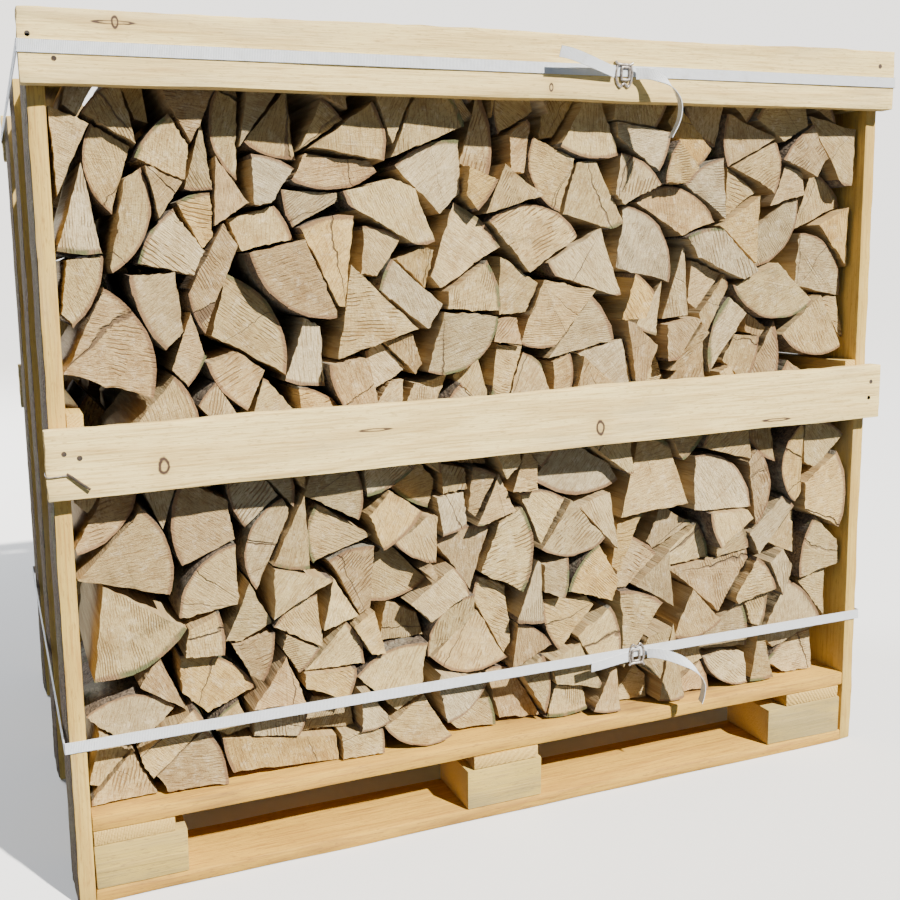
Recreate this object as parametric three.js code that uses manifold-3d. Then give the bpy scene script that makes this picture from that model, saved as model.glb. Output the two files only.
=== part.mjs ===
// A strapped timber crate on a pallet, filled with three ranks of split firewood.
// Millimetres. +X runs along the front, +Y to the back, +Z up.
// Pieces are dimensioned from the crate's front left foot; the last lines move the
// finished crate so that its origin is the middle of its footprint, on the ground.
import * as THREE from 'three';
import { mergeVertices } from 'three/addons/utils/BufferGeometryUtils.js';
import Module from 'manifold-3d';

const wasm = await Module();
wasm.setup();

const gap = 0.3; // air left between two pieces that touch

// crate
const crateLength = 1200; // over the outer faces of the end walls
const crateDepth = 800; // over the front and back edges of the end walls
const uprightThickness = 22;
const uprightHeight = 1040;
const uprightWidth = 122;
const barkSwell = 3; // how far the bark side wanders past the nominal face
const railThickness = 19.7;
const boardThickness = 19.7;
const boardHeight = 82;
const topBoardBase = 970;
const middleBoardBase = 510;
const boardOverhang = 5;
const boardOverhangRight = 6.5;

// pallet
const bottomThickness = 17;
const skidWidth = 98;
const blockHeight = 56.4;
const blockDepth = 95;
const stringerThickness = 19;
const stringerWidth = 100;
const deckThickness = 19;
const deckBoards = 6;

// firewood
const logLength = 248;
const logSetback = 6;
const stackTop = 1016;
const stackDip = 34;

// straps
const strapWidth = 14;
const strapThickness = 0.9;
const upperStrapHeight = 1008.7;
const lowerStrapHeight = 205.6;
const upperBuckle = { x: 749, z: 1004 };
const lowerBuckle = { x: 794, z: 202 };
const buckleWidth = 26;
const buckleHeight = 34;
const buckleThickness = 3.2;

const finish = (color, roughness, metalness = 0) =>
  new THREE.MeshStandardMaterial({ color, roughness, metalness });

const palletWood = finish(0xd9b27c, 0.8);
const blockWood = finish(0xcbb78e, 0.85);
const frameWood = finish(0xe4d3ab, 0.75);
const uprightWood = finish(0xd8b982, 0.8);
const firewood = finish(0xcfb48c, 0.85);
const strapping = finish(0xe6e6e8, 0.6);
const galvanised = finish(0x9a9a98, 0.4, 0.9);

const crate = new THREE.Group();

function add(name, geometry, material) {
  const piece = new THREE.Mesh(geometry, material);
  piece.name = name;
  crate.add(piece);
  return piece;
}

// A plank given by its lowest and highest corners.
function plank(name, material, low, high) {
  const size = high.map((top, axis) => top - low[axis]);
  const piece = add(name, new THREE.BoxGeometry(...size), material);
  piece.position.set(...low.map((bottom, axis) => bottom + size[axis] / 2));
}

// A piece with an outline of [x, z] points in front view, running back from frontY.
function frontOutline(name, material, outline, frontY, depth) {
  const shape = new THREE.Shape(outline.map(([x, z]) => new THREE.Vector2(x, z)));
  const geometry = new THREE.ExtrudeGeometry(shape, { depth, bevelEnabled: false });
  geometry.rotateX(Math.PI / 2);
  geometry.translate(0, frontY + depth, 0);
  add(name, geometry, material);
}

function toManifold(geometry) {
  geometry.deleteAttribute('normal');
  geometry.deleteAttribute('uv');
  const merged = mergeVertices(geometry);
  const vertProperties = Float32Array.from(merged.attributes.position.array);
  const triVerts = Uint32Array.from(merged.index.array);
  return new wasm.Manifold(new wasm.Mesh({ numProp: 3, vertProperties, triVerts }));
}

function toGeometry(solid) {
  const { vertProperties, triVerts } = solid.getMesh();
  const geometry = new THREE.BufferGeometry();
  geometry.setAttribute('position', new THREE.BufferAttribute(vertProperties, 3));
  geometry.setIndex(new THREE.BufferAttribute(triVerts, 1));
  return geometry;
}

// ---- pallet ----

const palletLeft = uprightThickness + gap;
const palletRight = crateLength - uprightThickness - gap;
const skidPlaces = { front: 0, middle: (crateDepth - skidWidth) / 2, back: crateDepth - skidWidth };
const columns = {
  left: { block: [palletLeft + 0.5, 115], stringer: palletLeft + 0.7 },
  centre: { block: [525, 115], stringer: 535 },
  right: { block: [1036, 137], stringer: 1070 },
};
const blockBase = bottomThickness + gap;
const stringerBase = blockBase + blockHeight + gap;
const deckBase = stringerBase + stringerThickness + gap;
const deckTop = deckBase + deckThickness;

function pallet() {
  for (const [row, y] of Object.entries(skidPlaces)) {
    plank(`bottom_board_${row}`, palletWood,
      [palletLeft, y, 0], [palletRight, y + skidWidth, bottomThickness]);
    for (const [column, { block: [x, width] }] of Object.entries(columns)) {
      const blockY = y + (skidWidth - blockDepth) * (row === 'back' ? 1 : 0);
      plank(`block_${row}_${column}`, blockWood,
        [x, blockY, blockBase], [x + width, blockY + blockDepth, blockBase + blockHeight]);
    }
  }
  for (const [column, { stringer }] of Object.entries(columns)) {
    plank(`stringer_${column}`, palletWood,
      [stringer, 0, stringerBase],
      [stringer + stringerWidth, crateDepth, stringerBase + stringerThickness]);
  }
  const deckPitch = (crateDepth - skidWidth) / (deckBoards - 1);
  for (let i = 0; i < deckBoards; i += 1) {
    const y = i * deckPitch;
    plank(`deck_board_${i + 1}`, palletWood,
      [palletLeft, y, deckBase], [palletRight, y + skidWidth, deckTop]);
  }
}

// ---- end walls ----

const uprightPlaces = {
  front: 0,
  middle: (crateDepth - uprightWidth) / 2,
  back: crateDepth - uprightWidth,
};
const railHeights = { middle: [525, 82], top: [974, 66] };

// The outer face still has its bark, so it wanders in and out along its height.
function uprightOutline(side, phase, height) {
  const steps = 14;
  const outline = [];
  for (let i = 0; i <= steps; i += 1) {
    const z = (height * i) / steps;
    const swell = 0.5 + 0.32 * Math.sin(i * 1.9 + phase) + 0.18 * Math.sin(i * 4.3 + 2 * phase);
    outline.push([-barkSwell * swell, z]);
  }
  outline.push([uprightThickness, height], [uprightThickness, 0]);
  return side === 'left' ? outline : outline.map(([x, z]) => [crateLength - x, z]);
}

function endWalls() {
  const railDepth = [gap, crateDepth - gap];
  for (const side of ['left', 'right']) {
    Object.entries(uprightPlaces).forEach(([place, y], i) => {
      const phase = i * 2.1 + (side === 'left' ? 0.4 : 3.3);
      const outline = uprightOutline(side, phase, uprightHeight - 4 * i);
      frontOutline(`upright_${side}_${place}`, uprightWood, outline, y, uprightWidth);
    });
    const inner = uprightThickness + gap;
    const x = side === 'left' ? inner : crateLength - inner - railThickness;
    for (const [level, [z, height]] of Object.entries(railHeights)) {
      plank(`rail_${side}_${level}`, uprightWood,
        [x, railDepth[0], z], [x + railThickness, railDepth[1], z + height]);
    }
  }
}

// ---- front and back boards ----

// The top edge is the waney edge of the tree, with shallow dips along it.
function boardOutline(base, rise, waneDepth, phase) {
  const left = -boardOverhang;
  const right = crateLength + boardOverhangRight;
  const steps = 24;
  const outline = [[left, base], [right - 3, base + rise]];
  for (let i = steps; i >= 0; i -= 1) {
    const t = i / steps;
    const dip = waneDepth * (0.5 + 0.5 * Math.sin(i * 1.3 + phase)) * Math.sin(Math.PI * t);
    outline.push([left + 1 + (right - left - 1) * t, base + rise * t + boardHeight - dip]);
  }
  return outline;
}

function faceBoards() {
  const frontY = -gap - boardThickness;
  const backY = crateDepth + gap;
  const boards = [
    ['front_board_top', topBoardBase, 1, 2.5, 0.3, frontY],
    ['front_board_middle', middleBoardBase, 10, 0.8, 1.7, frontY],
    ['back_board_top', topBoardBase - 2, 0, 3, 4.1, backY],
    ['back_board_middle', middleBoardBase + 8, -6, 1, 5.2, backY],
  ];
  for (const [name, base, rise, waneDepth, phase, y] of boards) {
    frontOutline(name, frameWood, boardOutline(base, rise, waneDepth, phase), y, boardThickness);
  }
}

// ---- firewood ----

// One rank of logs, as the solid that reaches their tips: it clears the rails at both
// ends and has the uneven top of a stack.
function rankOutline(phase) {
  const left = uprightThickness + 2 * gap;
  const right = crateLength - left;
  const railClear = railThickness + 2 * gap;
  const notch = ([z, height]) => [z - gap, z + height + gap];
  const [midLow, midHigh] = notch(railHeights.middle);
  const [topLow] = notch(railHeights.top);
  const base = deckTop + gap;
  const steps = 22;
  const outline = [[left, base], [right, base], [right, midLow], [right - railClear, midLow],
    [right - railClear, midHigh], [right, midHigh], [right, topLow], [right - railClear, topLow]];
  for (let i = steps; i >= 0; i -= 1) {
    const x = left + railClear + ((right - left - 2 * railClear) * i) / steps;
    outline.push([x, stackTop - stackDip * Math.abs(Math.sin(i * 0.93 + phase))]);
  }
  outline.push([left + railClear, topLow], [left, topLow], [left, midHigh], [left + railClear, midHigh],
    [left + railClear, midLow], [left, midLow]);
  return outline;
}

function firewoodRanks() {
  const places = {
    front: logSetback,
    middle: (crateDepth - logLength) / 2,
    back: crateDepth - logSetback - logLength,
  };
  Object.entries(places).forEach(([place, y], i) => {
    frontOutline(`logs_${place}_rank`, firewood, rankOutline(0.5 + i * 1.1), y, logLength);
  });
}

// ---- straps ----

// The strap's face at a distance out from what it is wrapped round: a rounded rectangle
// in plan, from the right of the buckle round the back to the left of the buckle.
function strapFace(wrapped, distance, buckle) {
  const { left, right, front, back } = wrapped;
  const bend = 0.6;
  const radius = bend + distance;
  const halfGap = buckleWidth / 2 + gap;
  const corners = [
    [right - bend, front + bend, -Math.PI / 2],
    [right - bend, back - bend, 0],
    [left + bend, back - bend, Math.PI / 2],
    [left + bend, front + bend, Math.PI],
  ];
  const face = [new THREE.Vector2(buckle.x + halfGap, front - distance)];
  for (const [x, y, start] of corners) {
    const arc = new THREE.Path().absarc(x, y, radius, start, start + Math.PI / 2, false);
    face.push(...arc.getPoints(4));
  }
  face.push(new THREE.Vector2(buckle.x - halfGap, front - distance));
  return face;
}

function strap(name, wrapped, height, buckle) {
  const outer = strapFace(wrapped, gap + strapThickness, buckle);
  const inner = strapFace(wrapped, gap, buckle);
  const band = new THREE.Shape([...outer, ...inner.reverse()]);
  const geometry = new THREE.ExtrudeGeometry(band, { depth: strapWidth, bevelEnabled: false });
  const piece = add(name, geometry, strapping);
  piece.position.z = height - strapWidth / 2;
}

// A loose end: a flat ribbon along a curve, twisting from one width direction to another.
function strapTail(name, route, startWidth, endWidth) {
  const stations = 16;
  const curve = new THREE.CatmullRomCurve3(route.map((point) => new THREE.Vector3(...point)));
  const positions = [];
  const indices = [];
  for (let i = 0; i <= stations; i += 1) {
    const t = i / stations;
    const centre = curve.getPointAt(t);
    const tangent = curve.getTangentAt(t);
    const turned = THREE.MathUtils.smoothstep(t, 0.1, 0.75);
    const across = new THREE.Vector3(...startWidth).lerp(new THREE.Vector3(...endWidth), turned);
    across.addScaledVector(tangent, -across.dot(tangent)).setLength(strapWidth / 2);
    const out = new THREE.Vector3().crossVectors(tangent, across).setLength(strapThickness / 2);
    for (const [w, n] of [[1, 1], [-1, 1], [-1, -1], [1, -1]]) {
      const corner = centre.clone().addScaledVector(across, w).addScaledVector(out, n);
      positions.push(corner.x, corner.y, corner.z);
    }
  }
  for (let i = 0; i < stations; i += 1) {
    for (let side = 0; side < 4; side += 1) {
      const a = i * 4 + side;
      const b = i * 4 + ((side + 1) % 4);
      indices.push(a, b, b + 4, a, b + 4, a + 4);
    }
  }
  const last = stations * 4;
  indices.push(0, 3, 2, 0, 2, 1, last, last + 1, last + 2, last, last + 2, last + 3);
  const geometry = new THREE.BufferGeometry();
  geometry.setAttribute('position', new THREE.Float32BufferAttribute(positions, 3));
  geometry.setIndex(indices);
  add(name, geometry, strapping);
}

// The bent wire buckle, as the plate that its wire fills: an outer bow and a middle bar.
function buckle(name, { x, z }, frontY) {
  const wire = 3;
  const window = [(buckleWidth - 3 * wire) / 2, buckleHeight - 2 * wire];
  let plate = toManifold(new THREE.BoxGeometry(buckleWidth, buckleThickness, buckleHeight));
  for (const side of [-1, 1]) {
    const cutter = new THREE.BoxGeometry(window[0], 2 * buckleThickness, window[1]);
    cutter.translate((side * (window[0] + wire)) / 2, 0, 0);
    plate = plate.subtract(toManifold(cutter));
  }
  const piece = add(name, toGeometry(plate), galvanised);
  piece.position.set(x, frontY - buckleThickness / 2, z);
}

function straps() {
  const boardFace = -gap - boardThickness;
  strap('strap_upper', {
    left: -boardOverhang - gap,
    right: crateLength + boardOverhangRight + gap,
    front: boardFace,
    back: crateDepth - boardFace,
  }, upperStrapHeight, upperBuckle);
  strap('strap_lower', {
    left: -barkSwell, right: crateLength + barkSwell, front: 0, back: crateDepth,
  }, lowerStrapHeight, lowerBuckle);
  buckle('buckle_upper', upperBuckle, boardFace - gap);
  buckle('buckle_lower', lowerBuckle, -gap);
  const upright = [0, 0, 1];
  strapTail('strap_tail_upper_left',
    [[733, -24.4, 1006], [710, -29, 1012], [683, -35, 1018.6], [659, -40, 1023.5], [642, -42, 1025.5]],
    upright, [-0.1, -0.3, 0.95]);
  strapTail('strap_tail_upper_right',
    [[765, -24.4, 1005], [774, -29, 1005], [785, -37, 1002], [797, -45, 993],
      [808, -50, 980], [815, -51, 964], [814, -49, 944], [804, -46, 922]],
    upright, [0.25, 0.96, 0.1]);
  strapTail('strap_tail_lower_left',
    [[778, -4.6, 201.5], [765, -6, 201], [751, -7.5, 200], [732, -9, 198.5], [714, -10, 197.5]],
    upright, [0, -0.12, 1]);
  strapTail('strap_tail_lower_right',
    [[810, -4.8, 202], [821, -11, 202.5], [839, -21, 198.5], [857, -31, 190],
      [872, -38, 177], [881, -40, 161], [882.5, -38, 144], [880, -36, 129]],
    upright, [0.25, 0.96, 0.1]);
}

pallet();
endWalls();
faceBoards();
firewoodRanks();
straps();

const footprint = new THREE.Box3().setFromObject(crate);
crate.position.set(-(footprint.min.x + footprint.max.x) / 2, -(footprint.min.y + footprint.max.y) / 2, 0);

export default crate;
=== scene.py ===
# Strapped crate pallet of split firewood: the looks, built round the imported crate.
import math
import random

import bpy
import numpy as np
from mathutils import Matrix, Vector, noise


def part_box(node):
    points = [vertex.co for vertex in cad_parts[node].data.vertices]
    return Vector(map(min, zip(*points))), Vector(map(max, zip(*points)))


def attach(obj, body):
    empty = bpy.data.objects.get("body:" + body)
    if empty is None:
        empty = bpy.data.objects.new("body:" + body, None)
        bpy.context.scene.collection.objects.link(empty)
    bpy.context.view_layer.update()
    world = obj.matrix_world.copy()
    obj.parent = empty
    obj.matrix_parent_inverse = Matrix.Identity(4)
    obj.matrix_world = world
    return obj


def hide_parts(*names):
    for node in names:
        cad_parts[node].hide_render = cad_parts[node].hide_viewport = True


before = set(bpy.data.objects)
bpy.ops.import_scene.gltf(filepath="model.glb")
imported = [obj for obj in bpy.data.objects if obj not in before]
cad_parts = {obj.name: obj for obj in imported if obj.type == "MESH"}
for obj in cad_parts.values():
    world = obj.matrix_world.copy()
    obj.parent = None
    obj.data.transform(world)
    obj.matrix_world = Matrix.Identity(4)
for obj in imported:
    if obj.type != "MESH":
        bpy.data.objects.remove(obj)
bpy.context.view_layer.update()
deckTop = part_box("deck_board_1")[1].z
wallThickness = 0.022
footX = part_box("upright_left_front")[1].x - wallThickness  # the left wall's outer face, under its bark
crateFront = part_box("upright_left_front")[0].y


# ---- small helpers -------------------------------------------------------

def fromFoot(x, y, z):
    # a place given from the crate's front left foot
    return Vector((footX + x, crateFront + y, z))


def deselectAll():
    if bpy.context.object and bpy.context.object.mode != "OBJECT":
        bpy.ops.object.mode_set(mode="OBJECT")
    bpy.ops.object.select_all(action="DESELECT")


def makeActive(piece):
    deselectAll()
    piece.select_set(True)
    bpy.context.view_layer.objects.active = piece


def pickEdges(piece, test):
    # leaves the piece in edit mode with only the edges that pass selected
    makeActive(piece)
    bpy.ops.object.mode_set(mode="EDIT")
    bpy.ops.mesh.select_mode(type="EDGE")
    bpy.ops.mesh.select_all(action="DESELECT")
    bpy.ops.object.mode_set(mode="OBJECT")
    points = piece.data.vertices
    for edge in piece.data.edges:
        first, second = (points[i].co for i in edge.vertices)
        edge.select = bool(test(first, second))
    bpy.ops.object.mode_set(mode="EDIT")


def applyModifier(piece, kind, **settings):
    makeActive(piece)
    modifier = piece.modifiers.new(kind.lower(), kind)
    for name, value in settings.items():
        setattr(modifier, name, value)
    bpy.ops.object.modifier_apply(modifier=modifier.name)


def joinPieces(name, parts):
    deselectAll()
    for part in parts:
        part.select_set(True)
    bpy.context.view_layer.objects.active = parts[0]
    if len(parts) > 1:
        bpy.ops.object.join()
    whole = bpy.context.object
    whole.name = name
    whole.data.name = name
    return whole


def onlyFinish(piece, finish):
    piece.data.materials.clear()
    piece.data.materials.append(finish)


def settle(piece, slotName, *nodes):
    # a finished piece sits at the origin and rides with the crate
    makeActive(piece)
    bpy.ops.object.transform_apply(location=True, rotation=True, scale=True)
    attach(piece, "root")
    if nodes:
        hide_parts(*nodes)


# ---- shader nodes --------------------------------------------------------

def addNode(tree, kind, inputs=None, **settings):
    made = tree.nodes.new(kind)
    for name, value in settings.items():
        setattr(made, name, value)
    for name, value in (inputs or {}).items():
        socket = made.inputs[name]
        if isinstance(value, bpy.types.NodeSocket):
            tree.links.new(value, socket)
        else:
            socket.default_value = value
    return made


def maths(tree, operation, first, second=0.0):
    return addNode(tree, "ShaderNodeMath", {0: first, 1: second}, operation=operation).outputs[0]


def times(tree, first, second):
    return maths(tree, "MULTIPLY", first, second)


def plus(tree, first, second):
    return maths(tree, "ADD", first, second)


def minus(tree, first, second):
    return maths(tree, "SUBTRACT", first, second)


def vectorMaths(tree, operation, first, second):
    return addNode(tree, "ShaderNodeVectorMath", {0: first, 1: second}, operation=operation).outputs[0]


def stretched(tree, spot, scale):
    return vectorMaths(tree, "MULTIPLY", spot, scale)


def lengthOf(tree, vector):
    return addNode(tree, "ShaderNodeVectorMath", {0: vector}, operation="LENGTH").outputs["Value"]


def vectorOf(tree, x, y=0.0, z=0.0):
    return addNode(tree, "ShaderNodeCombineXYZ", {0: x, 1: y, 2: z}).outputs[0]


def partsOf(tree, vector):
    return addNode(tree, "ShaderNodeSeparateXYZ", {0: vector}).outputs


def objectPlace(tree):
    return addNode(tree, "ShaderNodeTexCoord").outputs["Object"]


def attribute(tree, name, output="Fac"):
    return addNode(tree, "ShaderNodeAttribute", attribute_name=name).outputs[output]


def blendColour(tree, amount, first, second, kind="MIX"):
    made = addNode(tree, "ShaderNodeMix", {0: amount, 6: first, 7: second}, data_type="RGBA", blend_type=kind)
    return made.outputs[2]


def tinted(tree, colour, tint):
    return blendColour(tree, 1.0, colour, tint, "MULTIPLY")


def ramp(tree, value, low, high, first=0.0, last=1.0):
    limits = {"Value": value, "From Min": low, "From Max": high, "To Min": first, "To Max": last}
    return addNode(tree, "ShaderNodeMapRange", limits, interpolation_type="SMOOTHSTEP").outputs[0]


def noiseOf(tree, spot, scale, detail=3.0, roughness=0.55):
    look = {"Vector": spot, "Scale": scale, "Detail": detail, "Roughness": roughness}
    return addNode(tree, "ShaderNodeTexNoise", look).outputs["Fac"]


def cellEdges(tree, spot):
    return addNode(tree, "ShaderNodeTexVoronoi", {"Vector": spot, "Scale": 1.0},
                   feature="DISTANCE_TO_EDGE").outputs["Distance"]


def newGroup(name, inputs, outputs):
    group = bpy.data.node_groups.new(name, "ShaderNodeTree")
    for label, kind in inputs.items():
        group.interface.new_socket(label, in_out="INPUT", socket_type="NodeSocket" + kind)
    for label, kind in outputs.items():
        group.interface.new_socket(label, in_out="OUTPUT", socket_type="NodeSocket" + kind)
    return group, group.nodes.new("NodeGroupInput").outputs, group.nodes.new("NodeGroupOutput").inputs


def placeGroup(tree, group, **inputs):
    return addNode(tree, "ShaderNodeGroup", inputs, node_tree=group).outputs


def newMaterial(name):
    material = bpy.data.materials.new(name)
    material.use_nodes = True
    tree = material.node_tree
    return material, tree, tree.nodes["Principled BSDF"]


def finishSurface(tree, shader, colour, rough, height, depth):
    tree.links.new(colour, shader.inputs["Base Color"])
    if isinstance(rough, bpy.types.NodeSocket):
        tree.links.new(rough, shader.inputs["Roughness"])
    else:
        shader.inputs["Roughness"].default_value = rough
    bump = addNode(tree, "ShaderNodeBump", {"Height": height, "Distance": depth, "Strength": 1.0})
    tree.links.new(bump.outputs[0], shader.inputs["Normal"])


# growth lines and fine fibre of a sawn board whose grain runs along the first axis
def makeGrainGroup():
    group, given, out = newGroup("sawnGrain", {"Place": "Vector", "Wander": "Float"},
                                 {"Lines": "Float", "Fibre": "Float", "Patches": "Float"})
    slow = noiseOf(group, stretched(group, given["Place"], (1.1, 11.0, 11.0)), 1.0, 2.0, 0.45)
    waves = maths(group, "SINE", times(group, slow, given["Wander"]))
    fibre = noiseOf(group, stretched(group, given["Place"], (12.0, 310.0, 310.0)), 1.0, 4.0, 0.7)
    patches = noiseOf(group, stretched(group, given["Place"], (3.0, 14.0, 14.0)), 1.0, 4.0, 0.6)
    group.links.new(ramp(group, waves, -0.2, 1.0), out["Lines"])
    group.links.new(fibre, out["Fibre"])
    group.links.new(patches, out["Patches"])
    return group


# a knot at one place: its dark heart, its rim and the rings that swerve round it
def makeKnotGroup():
    group, given, out = newGroup(
        "knot", {"Place": "Vector", "Centre": "Vector", "Radius": "Float", "Shape": "Vector"},
        {"Heart": "Float", "Rim": "Float", "Swirl": "Float"})
    apart = vectorMaths(group, "SUBTRACT", given["Place"], given["Centre"])
    reach = lengthOf(group, vectorMaths(group, "MULTIPLY", apart, given["Shape"]))
    wobble = times(group, minus(group, noiseOf(group, given["Place"], 90.0, 2.0), 0.5), 0.7)
    share = plus(group, maths(group, "DIVIDE", reach, given["Radius"]), wobble)
    rim = times(group, ramp(group, share, 0.50, 0.82), ramp(group, share, 1.38, 1.05))
    group.links.new(ramp(group, share, 0.95, 0.70), out["Heart"])
    group.links.new(rim, out["Rim"])
    group.links.new(ramp(group, share, 5.0, 0.9), out["Swirl"])
    return group


# the fine steps that a saw leaves across a cut
def makeSawGroup():
    group, given, out = newGroup("sawMarks", {"Along": "Float", "Pitch": "Float", "Place": "Vector"},
                                 {"Height": "Float"})
    wander = times(group, noiseOf(group, given["Place"], 22.0, 2.0), 0.012)
    turns = maths(group, "DIVIDE", plus(group, given["Along"], wander), given["Pitch"])
    wave = maths(group, "SINE", times(group, turns, 2 * math.pi))
    patch = ramp(group, noiseOf(group, given["Place"], 30.0, 2.0), 0.42, 0.62)
    group.links.new(times(group, wave, patch), out["Height"])
    return group


grainGroup = makeGrainGroup()
knotGroup = makeKnotGroup()
sawGroup = makeSawGroup()

# the order that puts the grain first: along X, along Y, along Z
grainOrder = {"x": ("X", "Y", "Z"), "y": ("Y", "X", "Z"), "z": ("Z", "X", "Y")}


def grainPlace(tree, grain):
    parts = partsOf(tree, objectPlace(tree))
    return vectorOf(tree, *(parts[axis] for axis in grainOrder[grain]))


sprucePaint = {
    "pale": (0.84, 0.655, 0.268, 1), "line": (0.53, 0.35, 0.11, 1), "warm": (0.74, 0.52, 0.20, 1),
    "dash": (0.42, 0.28, 0.10, 1), "stain": (0.55, 0.43, 0.22, 1), "knot": (0.045, 0.02, 0.008, 1),
    "endPale": (0.62, 0.42, 0.12, 1), "endLine": (0.42, 0.24, 0.06, 1),
    "wander": 46.0, "lineStrength": 0.34, "fibreStrength": 0.85, "dashStrength": 0.7, "toneStrength": 0.25,
    "stainFrom": 0.52, "stainStrength": 0.45, "depth": 0.0014,
    "rings": 2300.0, "ringBend": 9.0, "ringStrength": 0.38, "endDepth": 0.0012,
}
pinePaint = dict(
    sprucePaint, pale=(0.60, 0.41, 0.10, 1), line=(0.40, 0.225, 0.045, 1), warm=(0.53, 0.335, 0.065, 1),
    dash=(0.30, 0.17, 0.04, 1))
palletPaint = dict(
    sprucePaint, pale=(0.585, 0.34, 0.042, 1), line=(0.35, 0.17, 0.026, 1), warm=(0.48, 0.26, 0.04, 1),
    dash=(0.22, 0.11, 0.03, 1), stain=(0.17, 0.085, 0.03, 1), stainFrom=0.53, stainStrength=0.75)
blockPaint = dict(
    sprucePaint, pale=(0.53, 0.375, 0.085, 1), line=(0.36, 0.25, 0.08, 1), warm=(0.46, 0.335, 0.115, 1),
    dash=(0.20, 0.13, 0.05, 1), stain=(0.27, 0.22, 0.11, 1), stainFrom=0.5, stainStrength=0.6)


def sawnWood(name, grain, look, knots=()):
    material, tree, shader = newMaterial(name)
    spot = grainPlace(tree, grain)
    tone = attribute(tree, "plankTone")
    # no two planks share a pattern: each is shifted by its own number
    own = vectorMaths(tree, "ADD", spot, vectorOf(tree, 0.0, times(tree, tone, 7.0)))
    wood = placeGroup(tree, grainGroup, Place=own, Wander=look["wander"])
    dashes = noiseOf(tree, stretched(tree, own, (85.0, 480.0, 480.0)), 1.0, 3.0, 0.65)
    coats = (
        (times(tree, wood["Lines"], look["lineStrength"]), "line"),
        (ramp(tree, wood["Fibre"], 0.44, 0.68, 0.0, look["fibreStrength"]), "line"),
        (ramp(tree, dashes, 0.56, 0.70, 0.0, look["dashStrength"]), "dash"),
        (ramp(tree, tone, 0.0, 1.0, 0.0, look["toneStrength"]), "warm"),
        (ramp(tree, wood["Patches"], look["stainFrom"], look["stainFrom"] + 0.16, 0.0, look["stainStrength"]),
         "stain"))
    colour = look["pale"]
    for amount, paint in coats:
        colour = blendColour(tree, amount, colour, look[paint])
    for centre, radius, shape in knots:
        knot = placeGroup(tree, knotGroup, Place=spot, Centre=centre, Radius=radius, Shape=shape)
        colour = blendColour(tree, times(tree, knot["Swirl"], 0.35), colour, look["line"])
        colour = blendColour(tree, times(tree, knot["Heart"], 0.45), colour, look["dash"])
        colour = blendColour(tree, knot["Rim"], colour, look["knot"])
    height = plus(tree, times(tree, wood["Fibre"], 0.6), times(tree, wood["Lines"], 0.25))
    rough = ramp(tree, wood["Fibre"], 0.2, 0.8, 0.86, 0.68)
    finishSurface(tree, shader, colour, rough, height, look["depth"])
    return material


def sawnEnd(name, look):
    # end grain of sawn timber: wide arcs of growth rings from a heart outside the board
    material, tree, shader = newMaterial(name)
    spot = objectPlace(tree)
    heart = vectorOf(tree, times(tree, attribute(tree, "plankTone"), 0.3), 0.1, -0.09)
    reach = lengthOf(tree, vectorMaths(tree, "SUBTRACT", spot, heart))
    bend = times(tree, noiseOf(tree, spot, 30.0, 2.0), look["ringBend"])
    rings = maths(tree, "SINE", plus(tree, times(tree, reach, look["rings"]), bend))
    fuzz = noiseOf(tree, spot, 500.0, 3.0)
    ringLook = ramp(tree, rings, -0.4, 1.0, 0.0, look["ringStrength"])
    colour = blendColour(tree, ringLook, look["endPale"], look["endLine"])
    colour = blendColour(tree, ramp(tree, fuzz, 0.4, 0.75, 0.0, 0.35), colour, look["endLine"])
    finishSurface(tree, shader, colour, 0.88, plus(tree, fuzz, times(tree, rings, 0.2)), look["endDepth"])
    return material


mossGreen = (0.085, 0.11, 0.035, 1)
# painted shade: the near-black colour laid into the fissures between bark plates
fissureShade = (0.03, 0.02, 0.014, 1)


def barkFinish(name, look):
    material, tree, shader = newMaterial(name)
    spot = grainPlace(tree, look["grain"])
    wander = addNode(tree, "ShaderNodeTexNoise", {"Vector": spot, "Scale": 34.0, "Detail": 3.0})
    bend = {0: wander.outputs["Color"], "Scale": look["bend"]}
    bend = addNode(tree, "ShaderNodeVectorMath", bend, operation="SCALE")
    bent = vectorMaths(tree, "ADD", spot, bend.outputs[0])
    plates = cellEdges(tree, stretched(tree, bent, look["plates"]))
    crumbs = noiseOf(tree, spot, 240.0, 5.0, 0.65)
    broad = noiseOf(tree, spot, 16.0, 4.0, 0.6)
    mossy = noiseOf(tree, spot, 31.0, 3.0)
    colour = blendColour(tree, ramp(tree, crumbs, 0.32, 0.7), look["dark"], look["light"])
    colour = blendColour(tree, ramp(tree, broad, 0.48, 0.62, 0.0, 0.75), colour, look["lichen"])
    colour = blendColour(tree, ramp(tree, mossy, 0.60, 0.70, 0.0, look["moss"]), colour, mossGreen)
    # the fissures between plates are darkened with painted shade as well as sunk
    colour = blendColour(tree, ramp(tree, plates, 0.09, 0.0, 0.0, look["seams"]), colour, fissureShade)
    seamHeight = times(tree, ramp(tree, plates, 0.0, 0.22), look["seams"])
    finishSurface(tree, shader, colour, 0.92, plus(tree, seamHeight, times(tree, crumbs, 0.8)), look["depth"])
    return material


logBarkLook = {
    "grain": "y", "plates": (16.0, 95.0, 95.0), "bend": 0.02, "moss": 0.8, "seams": 0.25, "depth": 0.0035,
    "dark": (0.045, 0.032, 0.022, 1), "light": (0.20, 0.145, 0.095, 1), "lichen": (0.25, 0.235, 0.175, 1),
}
slabBarkLook = {
    "grain": "z", "plates": (13.0, 88.0, 88.0), "bend": 0.045, "moss": 0.45, "seams": 0.55, "depth": 0.003,
    "dark": (0.028, 0.016, 0.008, 1), "light": (0.125, 0.074, 0.032, 1), "lichen": (0.115, 0.09, 0.04, 1),
}

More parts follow.
